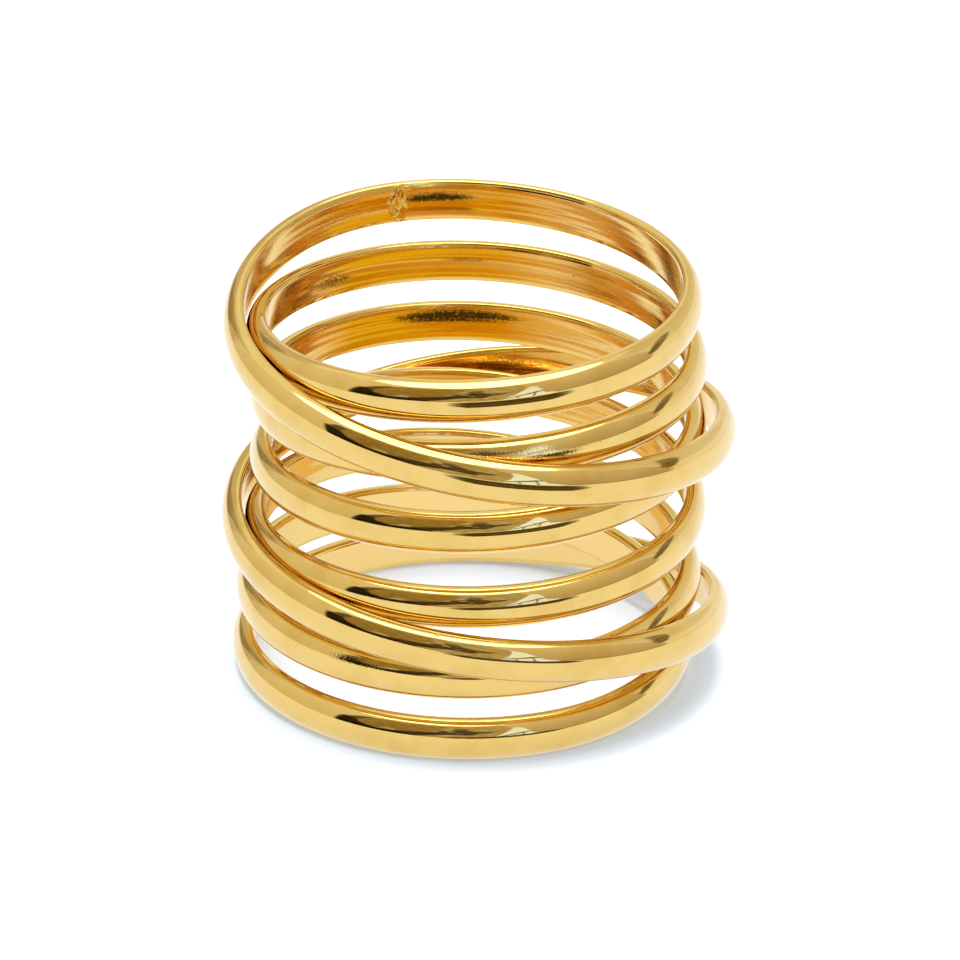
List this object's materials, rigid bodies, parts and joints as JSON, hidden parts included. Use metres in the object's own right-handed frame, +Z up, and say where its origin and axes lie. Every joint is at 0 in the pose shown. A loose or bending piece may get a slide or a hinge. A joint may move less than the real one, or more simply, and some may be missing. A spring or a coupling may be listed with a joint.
{
  "type": "multi-band finger ring",
  "caption": "Tall finger ring: one endless half-round gold wire wound round the finger as a stack of bands, with two strands crossing the front on a slant.",
  "frame": {"origin": "middle of the ring in plan, on the surface that the lowest turn rests on", "axes": "+Z up along the finger hole, -Y towards the front where the outer strands cross, +X to the wearer's right as seen from the front"},
  "size_m": [0.0212, 0.021, 0.018],
  "materials": {
    "polished_gold": "polished yellow gold plate"
  },
  "bodies": {
    "root": {"wrapped_band": "polished_gold"}
  },
  "joints": []
}
